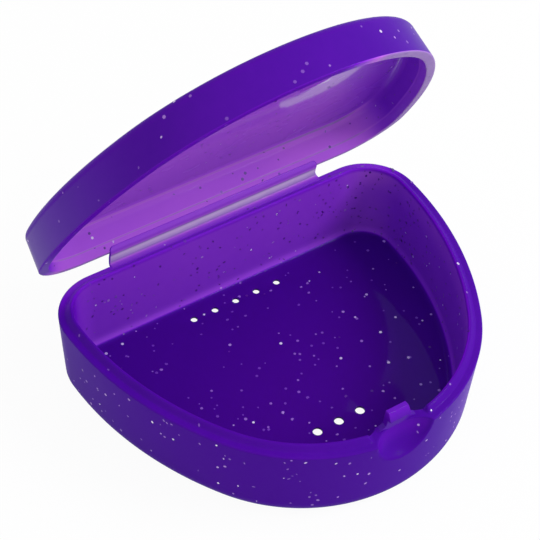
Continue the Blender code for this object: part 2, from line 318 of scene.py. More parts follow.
class Shell:
    """Collects rings of points and the faces between them, with two values at each point.

    tone picks the plastic's colour, with painted light and shade in it, and polish its gloss.
    """

    def __init__(self):
        self.points, self.faces, self.tone, self.polish = [], [], [], []

    def ring(self, points, tone, polish):
        start = len(self.points)
        self.points.extend(map(tuple, points))
        self.tone.extend(np.broadcast_to(tone, len(points)))
        self.polish.extend(np.broadcast_to(polish, len(points)))
        return list(range(start, start + len(points)))

    def bridge(self, lower, upper):
        count = len(lower)
        for i in range(count):
            after = (i + 1) % count
            self.faces.append((lower[i], lower[after], upper[after], upper[i]))

    def flat(self, edge, holes):
        """Fills a level ring, leaving its holes, each a ring of its own, open."""
        loops = [edge, *holes]
        order = [i for loop in loops for i in loop]
        flat = [Vector((self.points[i][0] / MM, self.points[i][1] / MM)) for i in order]
        edges, start = [], 0
        for loop in loops:
            edges += [(start + i, start + (i + 1) % len(loop)) for i in range(len(loop))]
            start += len(loop)
        middles = [
            (np.mean([self.points[i][0] for i in hole]), np.mean([self.points[i][1] for i in hole]))
            for hole in holes
        ]
        radii = [
            math.hypot(self.points[hole[0]][0] - m[0], self.points[hole[0]][1] - m[1])
            for hole, m in zip(holes, middles)
        ]
        spots, _, triangles, sources, _, _ = delaunay_2d_cdt(flat, edges, [], 1, 1e-7)
        for triangle in triangles:
            x = sum(spots[i].x for i in triangle) / len(triangle) * MM
            y = sum(spots[i].y for i in triangle) / len(triangle) * MM
            if any(math.hypot(x - m[0], y - m[1]) < r for m, r in zip(middles, radii)):
                continue
            self.faces.append(tuple(order[sources[i][0]] for i in triangle))

    def build(self, name, material):
        mesh = bpy.data.meshes.new(name)
        mesh.from_pydata(self.points, [], self.faces)
        store(mesh, tone=self.tone, polish=self.polish)
        form = bmesh.new()
        form.from_mesh(mesh)
        bmesh.ops.recalc_face_normals(form, faces=form.faces)
        form.to_mesh(mesh)
        form.free()
        mesh.shade_smooth()
        mesh.materials.append(material)
        piece = bpy.data.objects.new(name, mesh)
        bpy.context.scene.collection.objects.link(piece)
        return piece


def store(mesh, **values):
    """Gives each point of a mesh a number under each of the names."""
    for label, numbers in values.items():
        layer = mesh.attributes.new(label, "FLOAT", "POINT")
        layer.data.foreach_set("value", np.asarray(numbers, np.float32))


def piece_from(form, name, material):
    """A piece made from an edited mesh, which is freed."""
    mesh = bpy.data.meshes.new(name)
    form.to_mesh(mesh)
    form.free()
    mesh.materials.append(material)
    piece = bpy.data.objects.new(name, mesh)
    bpy.context.scene.collection.objects.link(piece)
    return piece


def settle(piece):
    """Turns a piece's modifiers into its mesh."""
    graph = bpy.context.evaluated_depsgraph_get()
    mesh = bpy.data.meshes.new_from_object(piece.evaluated_get(graph))
    piece.modifiers.clear()
    old = piece.data
    mesh.name = piece.name
    piece.data = mesh
    bpy.data.meshes.remove(old)
    return piece


def opened(points):
    """Places on the shut lid, turned about the hinge's crease to where the lid rests open."""
    turn = Matrix.Rotation(-OPEN_ANGLE, 3, "X")
    centre = np.array(CREASE)
    return (np.array(points) - centre) @ np.array(turn).T + centre


# Shader groups


def new_group(name, inputs, outputs):
    """An empty shader group with named sockets, and its two end nodes."""
    tree = bpy.data.node_groups.new(name, "ShaderNodeTree")
    for label, kind, default in inputs:
        socket = tree.interface.new_socket(label, in_out="INPUT", socket_type=kind)
        socket.default_value = default
    for label, kind in outputs:
        tree.interface.new_socket(label, in_out="OUTPUT", socket_type=kind)
    return tree, tree.nodes.new("NodeGroupInput"), tree.nodes.new("NodeGroupOutput")


def math_node(tree, operation, first, second):
    node = tree.nodes.new("ShaderNodeMath")
    node.operation = operation
    for i, value in enumerate((first, second)):
        if isinstance(value, (int, float)):
            node.inputs[i].default_value = value
        else:
            tree.links.new(value, node.inputs[i])
    return node.outputs[0]


def weighted(tree, first, first_weight, second, second_weight):
    """The weighted sum of two values."""
    return math_node(
        tree,
        "ADD",
        math_node(tree, "MULTIPLY", first, first_weight),
        math_node(tree, "MULTIPLY", second, second_weight),
    )


def seen_directly(tree):
    """1 for rays from the camera and for those that a gloss or clear surface sends on, else 0."""
    path = tree.nodes.new("ShaderNodeLightPath")
    seen = math_node(tree, "MAXIMUM", path.outputs["Is Camera Ray"], path.outputs["Is Glossy Ray"])
    return math_node(tree, "MAXIMUM", seen, path.outputs["Is Transmission Ray"])


def colour_ramp(tree, factor, stops):
    """The colour that a factor picks from (position, colour) stops."""
    node = tree.nodes.new("ShaderNodeValToRGB")
    elements = node.color_ramp.elements
    while len(elements) < len(stops):
        elements.new(0.5)
    for element, (stop, tint) in zip(elements, stops):
        element.position = stop
        element.color = (*tint, 1)
    tree.links.new(factor, node.inputs["Fac"])
    return node.outputs["Color"]


def noise(tree, vector, scale, detail=2.0):
    node = tree.nodes.new("ShaderNodeTexNoise")
    if isinstance(scale, (int, float)):
        node.inputs["Scale"].default_value = scale
    else:
        tree.links.new(scale, node.inputs["Scale"])
    node.inputs["Detail"].default_value = detail
    tree.links.new(vector, node.inputs["Vector"])
    return node.outputs[0]


def clouding_group():
    """Uneven thickness and swirls of dye: shifts the tone up and down over the surface."""
    tree, start, end = new_group(
        "plastic_clouding",
        [
            ("Vector", "NodeSocketVector", (0, 0, 0)),
            ("Tone", "NodeSocketFloat", 0.5),
            ("Amount", "NodeSocketFloat", 0.06),
            ("Scale", "NodeSocketFloat", 60.0),
        ],
        [("Tone", "NodeSocketFloat")],
    )
    wide = noise(tree, start.outputs["Vector"], start.outputs["Scale"])
    fine_scale = math_node(tree, "MULTIPLY", start.outputs["Scale"], 9.0)
    fine = noise(tree, start.outputs["Vector"], fine_scale)
    both = weighted(tree, wide, 0.7, fine, 0.3)
    swing = math_node(tree, "SUBTRACT", both, 0.5)
    shifted = math_node(tree, "MULTIPLY", swing, start.outputs["Amount"])
    tree.links.new(math_node(tree, "ADD", shifted, start.outputs["Tone"]), end.inputs["Tone"])
    return tree


def grain_group():
    """Fine moulded grain: a height for a Bump node and a small change of roughness."""
    tree, start, end = new_group(
        "moulded_grain",
        [
            ("Vector", "NodeSocketVector", (0, 0, 0)),
            ("Scale", "NodeSocketFloat", 900.0),
            ("Roughness", "NodeSocketFloat", 0.3),
        ],
        [("Height", "NodeSocketFloat"), ("Roughness", "NodeSocketFloat")],
    )
    fine = noise(tree, start.outputs["Vector"], start.outputs["Scale"], 3.0)
    slow_scale = math_node(tree, "MULTIPLY", start.outputs["Scale"], 0.12)
    slow = noise(tree, start.outputs["Vector"], slow_scale)
    tree.links.new(weighted(tree, slow, 1.6, fine, 0.25), end.inputs["Height"])
    swing = math_node(tree, "MULTIPLY", math_node(tree, "SUBTRACT", slow, 0.5), 0.12)
    tree.links.new(math_node(tree, "ADD", swing, start.outputs["Roughness"]), end.inputs["Roughness"])
    return tree


def attribute(tree, name):
    node = tree.nodes.new("ShaderNodeAttribute")
    node.attribute_name = name
    return node.outputs["Fac"]


def group_node(tree, group):
    node = tree.nodes.new("ShaderNodeGroup")
    node.node_tree = group
    return node


TONE_STOPS = (  # where each colour of the plastic lies on the scale of tones
    (0.0, "shade"),
    (0.16, "deep"),
    (0.33, "body"),
    (0.50, "bright"),
    (0.67, "glow"),
    (0.83, "lilac"),
    (0.92, "mauve"),
    (1.0, "pale"),
)
FLAKE_STOPS = (
    (0.0, (0.055, 0.002, 0.200)),
    (0.22, (0.130, 0.010, 0.360)),
    (0.3, (0.170, 0.035, 0.460)),
    (0.6, (0.380, 0.170, 0.660)),
    (1.0, (0.900, 0.860, 0.960)),
)


def plastic_material(name, look, groups):
    """Violet plastic whose colour follows the tone attribute, which carries the painted light and shade,
    and whose gloss follows the polish one.
    """
    material = bpy.data.materials.new(name)
    material.use_nodes = True
    tree = material.node_tree
    shader = tree.nodes["Principled BSDF"]
    where = tree.nodes.new("ShaderNodeTexCoord").outputs["Object"]
    clouding = group_node(tree, groups["clouding"])
    tree.links.new(where, clouding.inputs["Vector"])
    tree.links.new(attribute(tree, "tone"), clouding.inputs["Tone"])
    stops = [(stop, getattr(look, label)) for stop, label in TONE_STOPS]
    tree.links.new(
        colour_ramp(tree, clouding.outputs["Tone"], stops), shader.inputs["Base Color"]
    )
    grain = group_node(tree, groups["grain"])
    tree.links.new(where, grain.inputs["Vector"])
    gloss = attribute(tree, "polish")
    rough = math_node(tree, "MULTIPLY_ADD", gloss, -0.30)
    rough.node.inputs[2].default_value = 0.42
    tree.links.new(rough, grain.inputs["Roughness"])
    tree.links.new(gloss, shader.inputs["Coat Weight"])
    tree.links.new(grain.outputs["Roughness"], shader.inputs["Roughness"])
    bump = tree.nodes.new("ShaderNodeBump")
    bump.inputs["Strength"].default_value = look.grain
    bump.inputs["Distance"].default_value = 0.0001
    tree.links.new(grain.outputs["Height"], bump.inputs["Height"])
    tree.links.new(bump.outputs["Normal"], shader.inputs["Normal"])
    shader.inputs["Specular IOR Level"].default_value = 0.02
    shader.inputs["IOR"].default_value = 1.49
    shader.inputs["Coat Roughness"].default_value = 0.05
    shader.inputs["Coat IOR"].default_value = 1.45
    return material


def flake_material():
    """Glitter: from dark violet through lilac to near white, as the shine attribute says."""
    material = bpy.data.materials.new("glitter_flakes")
    material.use_nodes = True
    tree = material.node_tree
    shader = tree.nodes["Principled BSDF"]
    tint = colour_ramp(tree, attribute(tree, "shine"), FLAKE_STOPS)
    tree.links.new(tint, shader.inputs["Base Color"])
    shader.inputs["Roughness"].default_value = 0.35
    return material


def plastics():
    """The case's plastics, made once and shared by name."""
    if "tray_violet" not in bpy.data.materials:
        look = bpy.context.scene.case_plastic
        groups = {"clouding": clouding_group(), "grain": grain_group()}
        for name in ("tray_violet", "lid_violet", "strap_violet"):
            plastic_material(name, look, groups)
        flake_material()
    return bpy.data.materials


# Tray


FINE_MARGIN = 0.0006  # how far the finely spaced rings reach past the thumb scoop
INNER_MARGIN = 0.0016  # how much further they reach on the inner wall
SCOOP_CREASE = 0.0006  # over which the crease round the scoop is rounded
BULGE_CREASE = 0.0010  # the same for the wall behind the scoop
LIP_TAPER = (0.0003, 0.0005)  # where the lip runs out, before and past its break


def tray_profile(sizes):
    """(inset, height, side) of each ring, from the underside round the rim to the floor.

    side is 0 on the outer wall, 1 on the inner wall, and between them over the rim.
    """
    height, edge = sizes.height, sizes.rim_edge
    lip_top, crest = sizes.rim - sizes.lip_round, height + sizes.lip_height
    foot_end = sizes.draft + sizes.foot_round
    foot = quarter_turn(sizes.draft, sizes.foot_round, sizes.foot_round, 1, -1, 10)
    rings = [(foot_end + 0.0008, 0.0, 0.0), (foot_end + 0.0001, 0.0, 0.0)]
    rings += [(inset, z, 0.0) for inset, z in reversed(foot)]
    fine_from = height - sizes.scoop_height - FINE_MARGIN
    levels = list(np.linspace(sizes.foot_round, fine_from, 8)) + list(
        np.linspace(fine_from, height - edge, 26)[1:]
    )
    for z in levels:
        inset = sizes.draft * (height - z) / (height - sizes.foot_round)
        rings.append((inset, z, 0.0))
    over = quarter_turn(0.0, height - edge, edge, 1, 1, 5)
    rings += [(inset, z, inset / sizes.rim) for inset, z in over]
    rings.append((sizes.lip_start, height, sizes.lip_start / sizes.rim))
    for inset in np.linspace(sizes.lip_start, lip_top, 17)[1:]:
        z = height + sizes.lip_height * smoothstep(inset, sizes.lip_start, lip_top)
        rings.append((inset, z, inset / sizes.rim))
    inner_round = quarter_turn(sizes.rim, crest - sizes.lip_round, sizes.lip_round, -1, 1, 6)
    rings += [(inset, z, inset / sizes.rim) for inset, z in reversed(inner_round[:-1])]
    wall_foot = sizes.floor + sizes.cavity_round
    coarse_from = fine_from - INNER_MARGIN
    inner = list(np.linspace(height, coarse_from, 28)) + list(
        np.linspace(coarse_from, wall_foot, 8)[1:]
    )
    for z in inner:
        inset = sizes.rim + sizes.cavity_draft * (height - z) / (height - wall_foot)
        rings.append((inset, z, 1.0))
    floor_start = sizes.rim + sizes.cavity_draft
    for inset, z in quarter_turn(floor_start, wall_foot, sizes.cavity_round, 1, -1, 6):
        rings.append((inset, z, 1.0))
    rings.append((floor_start + sizes.cavity_round + 0.0003, sizes.floor, 1.0))
    return rings


def scoop_shift(sizes, x, y, z, grow, reach):
    """How far a wall's points move back to make way for the thumb scoop, or for the wall behind it."""
    a = sizes.scoop_width / 2 + grow
    b = sizes.scoop_depth + grow
    c = sizes.scoop_height + grow
    inside = 1 - (x / a) ** 2 - ((z - sizes.height) / c) ** 2
    bowl = -sizes.depth / 2 + b * np.sign(inside) * np.sqrt(np.abs(inside))
    return np.where(y < 0, soft_max(y, bowl, reach) - y, 0)


def tray_ring(sizes, spots, rays, inset, z, side):
    """One ring of the tray, with the scoop pressed into its front and the lip broken behind it."""
    places = spots - inset * rays
    x, y = places[:, 0], places[:, 1]
    level = min(z, sizes.height)
    edge_y = (spots - min(inset, 0.0) * rays)[:, 1] if 0 < side < 1 else y
    outer = scoop_shift(sizes, x, edge_y, level, 0.0, SCOOP_CREASE)
    rim_y = y if side == 1 else (spots - sizes.rim * rays)[:, 1]
    inner = scoop_shift(sizes, x, rim_y, level, sizes.scoop_wall, BULGE_CREASE)
    y = y + outer * (1 - side) + inner * side
    heights = np.full(len(x), z)
    if z > sizes.height:
        half = sizes.lip_break / 2
        taper = smoothstep(np.abs(x), half - LIP_TAPER[0], half + LIP_TAPER[1])
        lip = np.where(places[:, 1] < 0, taper, 1)
        heights = sizes.height + (z - sizes.height) * lip
    return np.stack([x, y, heights], 1)


# Painted light and shade: the tones rise towards the lamp on the right and at the back, where light
# comes through the walls; the outer wall's rise on the right is a painted sheen, and the fillet's lower
# tone at the front is painted shade at the foot of the wall.
TRAY_TONES = {  # at the front and left, at the right, and at the back
    "outside": (0.31, 0.38, 0.33),
    "rim": (0.34, 0.35, 0.56),
    "wall": (0.36, 0.60, 0.60),
    "fillet": (0.26, 0.60, 0.66),
    "floor": (0.17, 0.17, 0.17),
}
TRAY_POLISH = {"outside": 0.01, "rim": 0.03, "fillet": 0.0, "floor": 0.11}


def tray_looks(sizes, spots, rays, z, side):
    """Tone and polish round one ring, with painted light and shade: deep on the floor, bright where
    light comes through the back, paler towards the lamp on the right.
    """
    x, front = np.abs(spots[:, 0]), spots[:, 1] < 0
    to_right = smoothstep(rays[:, 0], 0.1, 0.7)
    turned = np.where(
        rays[:, 0] < 0, smoothstep(rays[:, 1], 0.3, 1.0), smoothstep(rays[:, 1], -0.1, 0.8)
    )
    to_back = smoothstep(spots[:, 1], 0.0, 0.4 * sizes.depth) * turned

    def tone(place):
        near, right, back = TRAY_TONES[place]
        ahead = near + (right - near) * to_right
        return ahead + (back - ahead) * to_back

    if side == 0:
        half, high = sizes.scoop_width / 2, (z - sizes.height) / sizes.scoop_height
        # Painted light and shade in the thumb scoop: paler towards its top, a touch darker at its
        # bottom.
        scoop = smoothstep(1 - (x / half) ** 2 - high**2, 0.0, 0.2) * front
        shine = TRAY_POLISH["outside"] + 0.24 * smoothstep(rays[:, 0], 0.4, 0.95)
        return tone("outside") + scoop * (0.08 * smoothstep(high, -1.0, -0.2) - 0.01), shine
    if side < 1:
        # Painted highlight along the lip's crest, strongest on the right and turning slightly darker at
        # the back; none behind the scoop.
        crest = smoothstep(side, 0.84, 0.92)
        behind_scoop = smoothstep(-x, -0.5 * sizes.scoop_width, -0.4 * sizes.scoop_width) * front
        shift = crest * (0.03 + 0.12 * to_right * (1 - to_back) - 0.07 * to_back)
        return tone("rim") + shift * (1 - behind_scoop), TRAY_POLISH["rim"] * (1 - behind_scoop)
    up = (z - sizes.floor) / sizes.cavity_round
    # Painted light: the right wall pales towards the rim, and the back wall towards its right corner.
    wall = tone("wall") + 0.08 * to_right * smoothstep(z, sizes.height - 0.006, sizes.height)
    wall = wall + 0.06 * to_back * smoothstep(spots[:, 0], 0.026, 0.034)
    low = wall + (tone("fillet") - wall) * smoothstep(-up, -1.5, -0.5)
    low = low + (tone("floor") - low) * smoothstep(-up, -0.30, -0.05)
    return low, TRAY_POLISH["floor" if up < 0.2 else "fillet"]


def vent_places(sizes):
    """(x, y, radius) of each vent."""
    back = sizes.depth / 2
    rows = (
        (5, sizes.back_vent_setback, sizes.back_vent),
        (3, sizes.front_vent_setback, sizes.front_vent),
    )
    return [
        (sizes.vent_pitch * (i - (count - 1) / 2), back - setback, across / 2)
        for count, setback, across in rows
        for i in range(count)
    ]


def vent_rings(shell, sizes, x, y, radius, sides=40):
    """The wall of one vent, from the floor to the underside. Returns its first and last rings."""
    edge, floor = sizes.vent_edge, sizes.floor
    turns = (0.0, 0.5, 1.0, 1.5)
    levels = [(radius + edge * (1 - math.sin(t)), floor - edge * (1 - math.cos(t))) for t in turns]
    levels += [(radius, floor - sizes.vent_throat), (radius + sizes.vent_flare, 0.0)]
    rings = []
    for r, z in levels:
        turn = np.linspace(0, 2 * math.pi, sides, endpoint=False)
        ring = np.stack([x + r * np.cos(turn), y + r * np.sin(turn), np.full(sides, z)], 1)
        rings.append(shell.ring(ring, TRAY_TONES["floor"][0], TRAY_POLISH["floor"]))
    for lower, upper in zip(rings, rings[1:]):
        shell.bridge(lower, upper)
    return rings[0], rings[-1]


class CASE_OT_make_tray(bpy.types.Operator):
    """Builds the tray: rounded foot, flat rim, raised lip, vents and thumb scoop."""

    bl_idname = "retainer_case.make_tray"
    bl_label = "Make tray"

    def execute(self, context):
        sizes = context.scene.case_tray
        spots, rays = plan(sizes, 0.00062, 0.00026, sizes.scoop_width / 2 + 0.0018)
        shell = Shell()
        rings = []
        for inset, z, side in tray_profile(sizes):
            places = tray_ring(sizes, spots, rays, inset, z, side)
            rings.append(shell.ring(places, *tray_looks(sizes, spots, rays, z, side)))
        for lower, upper in zip(rings, rings[1:]):
            shell.bridge(lower, upper)
        mouths = [vent_rings(shell, sizes, *place) for place in vent_places(sizes)]
        shell.flat(rings[-1], [top for top, _ in mouths])
        shell.flat(rings[0], [bottom for _, bottom in mouths])
        tray = shell.build("tray_shell", plastics()["tray_violet"])
        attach(tray, "tray")
        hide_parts("tray")
        return {"FINISHED"}


# Snap tab

ROOT_DEPTH = 0.0003  # how far the tab's root is sunk into the rim
TIP_BREAK = 0.0002  # slope at the front of the tab's top


class CASE_OT_make_latch(bpy.types.Operator):
    """Builds the snap tab: a tapered tongue with a wedge-shaped hook, flared at its root."""

    bl_idname = "retainer_case.make_latch"
    bl_label = "Make snap tab"

    def execute(self, context):
        sizes, tray = context.scene.case_latch, context.scene.case_tray
        front = TAB_BOX[1].y - sizes.thickness
        back, top, rim = TAB_BOX[1].y, TAB_BOX[1].z, tray.height
        hook = rim + sizes.hook_height
        waist = rim + sizes.waist_height
        root, tip = sizes.root_width / 2, sizes.top_width / 2
        narrow = sizes.waist_width / 2

        def half_width(z):
            return narrow + (tip - narrow) * (z - waist) / (top - waist)

        levels = [(rim - ROOT_DEPTH, front, back, root)]
        for part in (0.0, 0.15, 0.35, 0.6, 1.0):
            z = rim + sizes.waist_height * part
            levels.append((z, front, back, narrow + (root - narrow) * (1 - part) ** 3))
        ledge = hook + sizes.hook_draft
        levels.append((hook, front, back, half_width(hook)))
        levels.append((ledge, front - sizes.hook_reach, back, half_width(ledge)))
        levels.append((top - TIP_BREAK, front, back, half_width(top)))
        levels.append((top, front + TIP_BREAK, back, half_width(top)))
        form = bmesh.new()
        loops = []
        for z, near, far, half in levels:
            corners = ((-half, near), (half, near), (half, far), (-half, far))
            loops.append([form.verts.new((x, y, z)) for x, y in corners])
        for lower, upper in zip(loops, loops[1:]):
            for i in range(4):
                after = (i + 1) % 4
                face = (lower[i], lower[after], upper[after], upper[i])
                height = (face[0].co - face[3].co).length + (face[1].co - face[2].co).length
                if height > 1e-7:
                    form.faces.new(face)
        form.faces.new(list(reversed(loops[0])))
        form.faces.new(loops[-1])
        bmesh.ops.remove_doubles(form, verts=form.verts, dist=1e-6)
        bmesh.ops.recalc_face_normals(form, faces=form.faces)
        tab = piece_from(form, "latch_tab_tongue", plastics()["tray_violet"])
        rounding = tab.modifiers.new("Rounded edges", "BEVEL")
        rounding.width = sizes.edge
        rounding.segments = 3
        rounding.angle_limit = math.radians(28)
        rounding.harden_normals = True
        tab.data.shade_smooth()
        settle(tab)
        # Painted light: the tab pales from the hook up to its top.
        zones(tab, lambda p: 0.35 + 0.08 * smoothstep(p[:, 2], rim + sizes.hook_height, top), 0.2)
        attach(tab, "latch_tab")
        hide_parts("latch_tab")
        return {"FINISHED"}


def zones(piece, tone, polish):
    """Gives each point of a finished mesh its tone, from its place, and its polish."""
    mesh = piece.data
    places = np.zeros(len(mesh.vertices) * 3)
    mesh.vertices.foreach_get("co", places)
    tones = np.broadcast_to(tone(places.reshape(-1, 3)), len(mesh.vertices))
    store(mesh, tone=tones, polish=np.full(len(tones), polish))


# Lid


def lid_profile(sizes, rim_z, side):
    """(inset, height, place) of each ring of the shut lid, from its top round the rim to its ceiling.

    side is 0 at the back and 1 at the sides and front, for each point round the plan.
    """
    top, edge = rim_z + sizes.height, sizes.rim_edge
    out, crown_inset = -sizes.overhang, sizes.draft - sizes.overhang
    crown_start = top - sizes.crown
    crown = quarter_turn(crown_inset, crown_start, sizes.crown, 1, 1, 9)
    rings = [(crown_inset + sizes.crown + 0.0010, top, "top")]
    rings += [(inset, z, "crown") for inset, z in reversed(crown)]
    for z in np.linspace(crown_start, rim_z + edge, 8):
        rings.append((out + sizes.draft * (z - rim_z) / (crown_start - rim_z), z, "wall"))
    rings += [(inset, z, "rim") for inset, z in quarter_turn(out, rim_z + edge, edge, 1, -1, 4)]
    mouth, soft = sizes.rim - sizes.overhang + sizes.rim_growth * side, 0.00008
    throat = sizes.rim - sizes.overhang + sizes.lead_in
    for part in (0.25, 0.5, 0.75, 1.0):
        rings.append((out + edge + (mouth - soft - out - edge) * part, rim_z, "rim"))
    rings.append((mouth + soft * 0.35, rim_z + soft * 0.45, "rim"))
    rings.append((mouth + soft * 0.9, rim_z + soft * 1.9, "lead"))
    for part in (0.3, 0.6, 0.9):
        rings.append((mouth + (throat - mouth) * part, rim_z + sizes.lead_in_height * part, "lead"))
    rings.append((throat - 0.00004, rim_z + sizes.lead_in_height - 0.00005, "crease"))
    rings.append((throat + 0.00001, rim_z + sizes.lead_in_height + 0.00008, "crease"))
    ceiling = rim_z + sizes.height - sizes.top
    wall_end = ceiling - sizes.cavity_round
    for part in np.linspace(0.10, 1, 6):
        z = rim_z + sizes.lead_in_height + (wall_end - rim_z - sizes.lead_in_height) * part
        rings.append((throat + sizes.cavity_draft * part, z, "inner"))
    turn = quarter_turn(throat + sizes.cavity_draft, wall_end, sizes.cavity_round, 1, 1, 12)
    for number, (inset, z) in enumerate(turn):
        rings.append((inset, z, "inner" if number < 5 else "fillet" if number < 7 else "ceiling"))
    return rings


# Painted light and shade: the rim and lead-in pale towards the right and the back; the crease and the
# fillet are painted highlight lines; the inner wall and the ceiling are pale with painted light through
# the lid, and darker at the right end as painted shade.
LID_TONES = {  # at the left and front, at the right, and at the back
    "top": (0.33, 0.33, 0.33),
    "crown": (0.36, 0.36, 0.36),
    "wall": (0.35, 0.35, 0.35),
    "rim": (0.40, 0.92, 0.88),
    "lead": (0.50, 0.64, 0.79),
    "crease": (0.60, 0.70, 0.90),
    "inner": (0.68, 0.56, 0.77),
    "fillet": (0.78, 0.58, 0.86),
    "ceiling": (0.73, 0.73, 0.73),
}
LID_POLISH = {
    "top": 0.03,
    "crown": 0.05,
    "wall": 0.07,
    "rim": 0.06,
    "lead": 0.05,
    "crease": 0.05,
    "inner": 0.10,
    "fillet": 0.08,
    "ceiling": 0.50,
}


def lid_looks(spots, rays, place):
    """Tone and polish round one ring of the lid, with painted light and shade: palest at its right end
    and at its back.
    """
    left, right, behind = LID_TONES[place]
    x, polish = spots[:, 0], LID_POLISH[place]
    to_right = smoothstep(x, 0.003, 0.015)
    to_back = smoothstep(rays[:, 1], 0.35, 0.9)
    tone = left + (right - left) * to_right
    # Painted shade darkens the ceiling towards its right end.
    if place == "ceiling":
        return tone - 0.14 * smoothstep(x - 0.3 * spots[:, 1], 0.016, 0.036), polish
    # Painted light makes the back of the inner wall and fillet paler towards the right.
    if place in ("inner", "fillet"):
        behind = behind + 0.06 * smoothstep(x, 0.008, 0.022)
        to_back = smoothstep(rays[:, 1], 0.0, 1.0)
    if place == "wall":
        polish = polish + 0.2 * smoothstep(-x, 0.028, 0.040)
    return tone + (behind - tone) * to_back, polish


class CASE_OT_make_lid(bpy.types.Operator):
    """Builds the lid: a shallow dish with a rounded crown, a flat rim and a sloped lead-in."""

    bl_idname = "retainer_case.make_lid"
    bl_label = "Make lid"

    def execute(self, context):
        tray, sizes = context.scene.case_tray, context.scene.case_lid
        spots, rays = plan(tray, 0.00055, 0.00055, tray.width)
        shell = Shell()
        rings = []
        side = (1 - smoothstep(rays[:, 1], 0.35, 0.9))[:, None]
        for inset, z, place in lid_profile(sizes, tray.height + sizes.gap, side):
            flat = spots - inset * rays
            places = np.stack([flat[:, 0], flat[:, 1] - sizes.overhang, np.full(len(flat), z)], 1)
            rings.append(shell.ring(opened(places), *lid_looks(spots, rays, place)))
        for lower, upper in zip(rings, rings[1:]):
            shell.bridge(lower, upper)
        shell.faces.append(tuple(rings[0]))
        middle, edge = flat.mean(axis=0), flat
        for part in np.linspace(0.08, 0.96, 12):
            spots = edge + (middle - edge) * part
            places = np.stack([spots[:, 0], spots[:, 1] - sizes.overhang, np.full(len(spots), z)], 1)
            rings.append(shell.ring(opened(places), *lid_looks(spots, rays, "ceiling")))
            shell.bridge(rings[-2], rings[-1])
        shell.faces.append(tuple(reversed(rings[-1])))
        lid = shell.build("lid_shell", plastics()["lid_violet"])
        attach(lid, "lid")
        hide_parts("lid")
        return {"FINISHED"}


CATCH_SEAT = 0.0004  # how far the catch is sunk into the lid's wall
CATCH_GAP = 0.0003  # from the rim up to the catch, and from its edge to the tab
CATCH_SLOPE = 0.0004  # how far the catch's lower edge leans back
CATCH_EDGE = 0.00018  # radius of its edges


class CASE_OT_make_catch(bpy.types.Operator):
    """Builds the ledge inside the lid's front wall that snaps under the tab's hook."""

    bl_idname = "retainer_case.make_catch"
    bl_label = "Make lid catch"

    def execute(self, context):
        tray, lid = context.scene.case_tray, context.scene.case_lid
        rim_z = tray.height + lid.gap
        wall = -tray.depth / 2 - 2 * lid.overhang + lid.rim + lid.lead_in
        ledge_end = -tray.depth / 2 + tray.scoop_depth - CATCH_GAP
        low = (-lid.catch_width / 2, wall - CATCH_SEAT, rim_z + CATCH_GAP)
        high = (lid.catch_width / 2, ledge_end, rim_z + CATCH_GAP + lid.catch_height)
        form = bmesh.new()
        bmesh.ops.create_cube(form, size=1)
        for corner in form.verts:
            corner.co = [low[k] if corner.co[k] < 0 else high[k] for k in range(3)]
            if corner.co.y > wall + 0.001 and corner.co.z < rim_z + 0.0006:
                corner.co.y -= CATCH_SLOPE
        bmesh.ops.bevel(
            form, geom=form.edges[:], offset=CATCH_EDGE, segments=3, profile=0.5, affect="EDGES"
        )
        bmesh.ops.recalc_face_normals(form, faces=form.faces)
        catch = piece_from(form, "lid_catch_ledge", plastics()["lid_violet"])
        places = opened([v.co[:] for v in catch.data.vertices])
        catch.data.vertices.foreach_set("co", places.ravel())
        catch.data.shade_smooth()
        # The tone of the lid's inner wall, with its painted light.
        zones(catch, lambda p: np.full(len(p), 0.7), 0.7)
        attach(catch, "lid")
        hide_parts("lid_catch")
        return {"FINISHED"}


# Hinge strap


def smooth_path(points, steps):
    """Even points on a Catmull-Rom curve through the given ones."""
    points = np.array(points)
    ends = np.vstack([2 * points[0] - points[1], points, 2 * points[-1] - points[-2]])
    dense = []
    for i in range(1, len(ends) - 2):
        a, b, c, d = ends[i - 1 : i + 3]
        for t in np.linspace(0, 1, 24, endpoint=False):
            square, cube = 2 * a - 5 * b + 4 * c - d, 3 * b - a - 3 * c + d
            dense.append(0.5 * (2 * b + (c - a) * t + square * t**2 + cube * t**3))
    dense.append(points[-1])
    dense = np.array(dense)
    walked = np.concatenate([[0], np.cumsum(np.linalg.norm(np.diff(dense, axis=0), axis=1))])
    at = np.linspace(0, walked[-1], steps)
    return np.stack([np.interp(at, walked, dense[:, k]) for k in range(dense.shape[1])], 1), at


